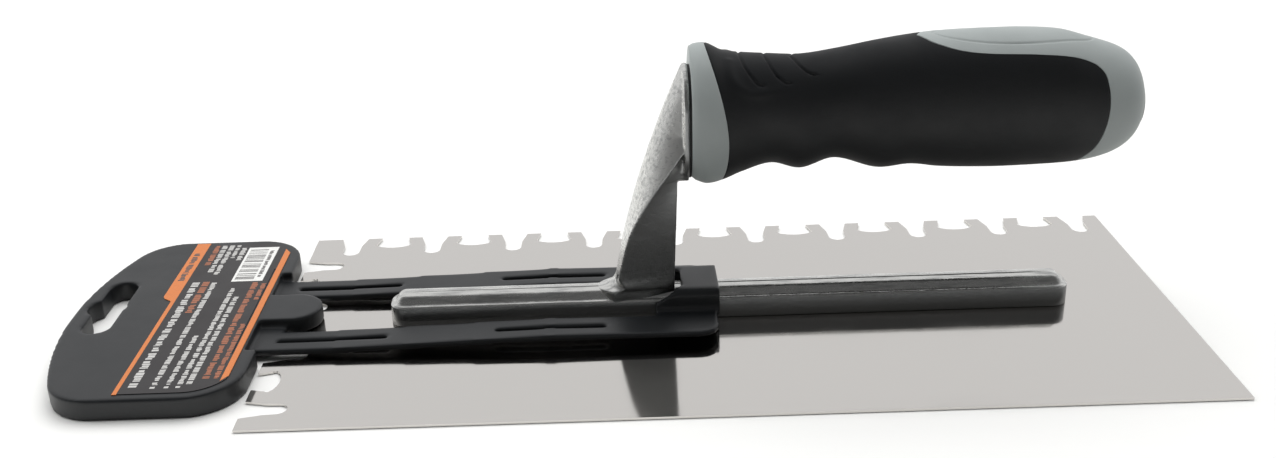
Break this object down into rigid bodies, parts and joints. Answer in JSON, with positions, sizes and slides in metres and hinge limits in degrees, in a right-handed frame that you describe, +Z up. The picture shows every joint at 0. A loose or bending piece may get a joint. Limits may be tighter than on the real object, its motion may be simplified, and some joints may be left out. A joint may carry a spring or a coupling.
{
  "type": "notched trowel",
  "caption": "Rectangular notched spreading trowel with a cast bar mounting, a two-part soft grip handle and a clip-on hanging card looped over the bar behind its post.",
  "frame": {"origin": "centre of the blade's flat underside", "axes": "+X along the blade and the handle, away from the hanging card and towards the handle's free end; +Y towards the toothed long edge; +Z up from the blade towards the handle"},
  "size_m": [0.3445, 0.13, 0.0889],
  "materials": {
    "blade_steel": "bright cold-rolled stainless spring steel",
    "cast_aluminium": "die-cast, tumbled, top faces polished",
    "rivet_steel": "ground flush with the blade",
    "gasket_rubber": "matte",
    "grip_grey": "fine spark-eroded texture",
    "grip_black": "matte overmoulded thermoplastic rubber",
    "bolt_steel": "zinc plated",
    "plug_grey": "matte moulded polyethylene",
    "hanger_black": "matte moulded polypropylene",
    "label_print": "printed film, plain stripes and blocks"
  },
  "bodies": {
    "trowel": {"blade": "blade_steel", "shank_casting": "cast_aluminium", "blade_rivets": "rivet_steel", "collar_gasket": "gasket_rubber", "handle_core": "grip_grey", "grip_sleeve": "grip_black", "handle_bolt": "bolt_steel", "bolt_washer": "bolt_steel", "end_plug": "plug_grey"},
    "hanging_card": {"hanger": "hanger_black", "hanger_label": "label_print"}
  },
  "joints": [
    {"name": "hanger_lift", "type": "slide", "parent": "trowel", "child": "hanging_card", "axis": [0, 0, 1], "range_m": [0, 0.015]}
  ]
}
